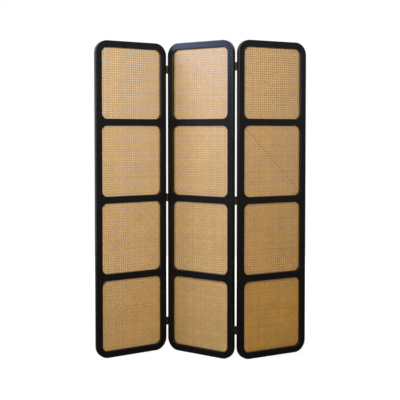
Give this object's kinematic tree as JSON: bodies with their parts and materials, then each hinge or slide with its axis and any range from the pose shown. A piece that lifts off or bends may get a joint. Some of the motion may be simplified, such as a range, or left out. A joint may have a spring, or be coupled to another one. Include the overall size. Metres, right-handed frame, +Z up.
{
  "type": "folding room divider",
  "caption": "Free-standing folding screen: black frames with rounded corners and woven cane windows, joined by butt hinges so the panels fold flat.",
  "frame": {"origin": "on the floor under the middle of the standing divider's box", "axes": "+Z up, X along the divider, the front (the side the picture shows) faces -Y"},
  "size_m": [1.141, 0.259, 1.7],
  "materials": {
    "black_lacquered_wood": "near-black satin lacquer over wood",
    "woven_cane": "natural six-way woven cane, unlacquered",
    "beech_dowel": "plain beech",
    "antique_brass": "dark antique brass, satin",
    "hinge_pin_steel": "dark plated steel"
  },
  "bodies": {
    "centre_panel": {"centre_panel_bottom_cane": "woven_cane", "centre_panel_bottom_rail": "black_lacquered_wood", "centre_panel_cane_beads": "black_lacquered_wood", "centre_panel_dowels": "beech_dowel", "centre_panel_hinge_screws": "antique_brass", "centre_panel_left_stile": "black_lacquered_wood", "centre_panel_lower_cane": "woven_cane", "centre_panel_lower_rail": "black_lacquered_wood", "centre_panel_middle_rail": "black_lacquered_wood", "centre_panel_right_stile": "black_lacquered_wood", "centre_panel_top_cane": "woven_cane", "centre_panel_top_rail": "black_lacquered_wood", "centre_panel_upper_cane": "woven_cane", "centre_panel_upper_rail": "black_lacquered_wood", "left_fold_bottom_centre_leaf": "antique_brass", "left_fold_middle_centre_leaf": "antique_brass", "left_fold_pins": "hinge_pin_steel", "left_fold_top_centre_leaf": "antique_brass", "right_fold_bottom_centre_leaf": "antique_brass", "right_fold_middle_centre_leaf": "antique_brass", "right_fold_pins": "hinge_pin_steel", "right_fold_top_centre_leaf": "antique_brass"},
    "left_panel": {"left_fold_bottom_outer_leaf": "antique_brass", "left_fold_middle_outer_leaf": "antique_brass", "left_fold_top_outer_leaf": "antique_brass", "left_panel_bottom_cane": "woven_cane", "left_panel_bottom_rail": "black_lacquered_wood", "left_panel_cane_beads": "black_lacquered_wood", "left_panel_dowels": "beech_dowel", "left_panel_hinge_screws": "antique_brass", "left_panel_left_stile": "black_lacquered_wood", "left_panel_lower_cane": "woven_cane", "left_panel_lower_rail": "black_lacquered_wood", "left_panel_middle_rail": "black_lacquered_wood", "left_panel_right_stile": "black_lacquered_wood", "left_panel_top_cane": "woven_cane", "left_panel_top_rail": "black_lacquered_wood", "left_panel_upper_cane": "woven_cane", "left_panel_upper_rail": "black_lacquered_wood"},
    "right_panel": {"right_fold_bottom_outer_leaf": "antique_brass", "right_fold_middle_outer_leaf": "antique_brass", "right_fold_top_outer_leaf": "antique_brass", "right_panel_bottom_cane": "woven_cane", "right_panel_bottom_rail": "black_lacquered_wood", "right_panel_cane_beads": "black_lacquered_wood", "right_panel_dowels": "beech_dowel", "right_panel_hinge_screws": "antique_brass", "right_panel_left_stile": "black_lacquered_wood", "right_panel_lower_cane": "woven_cane", "right_panel_lower_rail": "black_lacquered_wood", "right_panel_middle_rail": "black_lacquered_wood", "right_panel_right_stile": "black_lacquered_wood", "right_panel_top_cane": "woven_cane", "right_panel_top_rail": "black_lacquered_wood", "right_panel_upper_cane": "woven_cane", "right_panel_upper_rail": "black_lacquered_wood"}
  },
  "joints": [
    {"name": "left_fold", "type": "hinge", "parent": "centre_panel", "child": "left_panel", "pos_m": [-0.19408, 0.10957, 0.85], "axis": [0, 0, 1], "range_deg": [-65.9, 114.1]},
    {"name": "right_fold", "type": "hinge", "parent": "centre_panel", "child": "right_panel", "pos_m": [0.17889, -0.10823, 0.85], "axis": [0, 0, 1], "range_deg": [-61.3, 118.7]}
  ]
}
